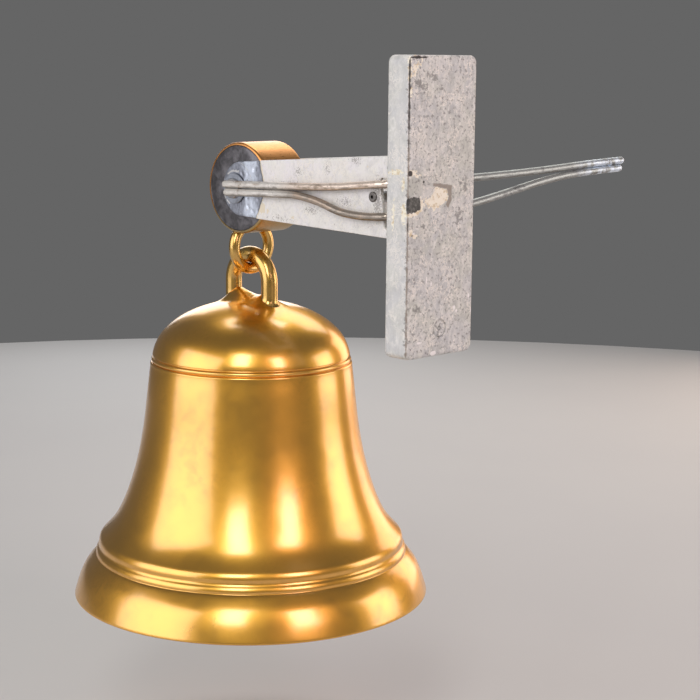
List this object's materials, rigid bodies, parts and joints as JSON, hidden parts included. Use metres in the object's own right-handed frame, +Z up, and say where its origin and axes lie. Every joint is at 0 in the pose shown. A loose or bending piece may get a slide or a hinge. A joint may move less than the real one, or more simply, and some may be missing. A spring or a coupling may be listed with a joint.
{
  "type": "wall bracket bell",
  "caption": "Bronze wall bell, 350 mm mouth, on a ring under a rocking hub, with a forked steel bracket, a two-rod lever and a clapper.",
  "frame": {"origin": "centre of the wall plate's wall-side face", "axes": "+Z up, +Y into the wall, +X towards the side where the lever rods start; the lever ends point to -X"},
  "size_m": [0.4801, 0.4224, 0.571],
  "materials": {
    "weathered_paint": "weathered satin",
    "gold_bronze": "satin polished",
    "copper_brass": "satin",
    "dark_steel": "brushed",
    "nickel_rod": "worn polished",
    "fastener_steel": "satin",
    "bush_bronze": "machined",
    "forged_iron": "forged"
  },
  "bodies": {
    "bracket": {"wall_plate": "weathered_paint", "screw_ferrules": "fastener_steel", "near_cheek": "weathered_paint", "far_cheek": "weathered_paint", "cheek_screws": "fastener_steel", "tie_bolt": "fastener_steel", "tie_spacer": "fastener_steel", "tie_nut": "fastener_steel", "axle_bushes": "bush_bronze"},
    "hub": {"hanger_ring": "gold_bronze", "drum_barrel": "copper_brass", "near_drum_disc": "dark_steel", "far_drum_disc": "dark_steel", "drum_core": "dark_steel", "hub_key": "fastener_steel", "hub_shaft": "fastener_steel", "lever_boss": "fastener_steel", "thrust_washers": "fastener_steel", "shaft_nut": "fastener_steel", "split_pin": "fastener_steel", "upper_lever_rod": "nickel_rod", "lower_lever_rod": "nickel_rod"},
    "bell_body": {"bell": "gold_bronze", "crown_staple": "forged_iron", "staple_bush": "bush_bronze"},
    "clapper": {"clapper_shaft": "forged_iron", "clapper_ball": "forged_iron", "clapper_flight": "forged_iron", "clapper_pin": "fastener_steel", "clapper_pin_nut": "fastener_steel"}
  },
  "joints": [
    {"name": "hub_rock", "type": "hinge", "parent": "bracket", "child": "hub", "pos_m": [0, -0.2374, 0.0038], "axis": [-1, 0, 0], "range_deg": [0, 1.6]},
    {"name": "bell_swing", "type": "hinge", "parent": "hub", "child": "bell_body", "pos_m": [0, -0.247, -0.0759], "axis": [1, 0, 0], "range_deg": [-35, 13]},
    {"name": "clapper_swing", "type": "hinge", "parent": "bell_body", "child": "clapper", "pos_m": [0, -0.247, -0.152], "axis": [1, 0, 0], "range_deg": [-28, 28]}
  ]
}
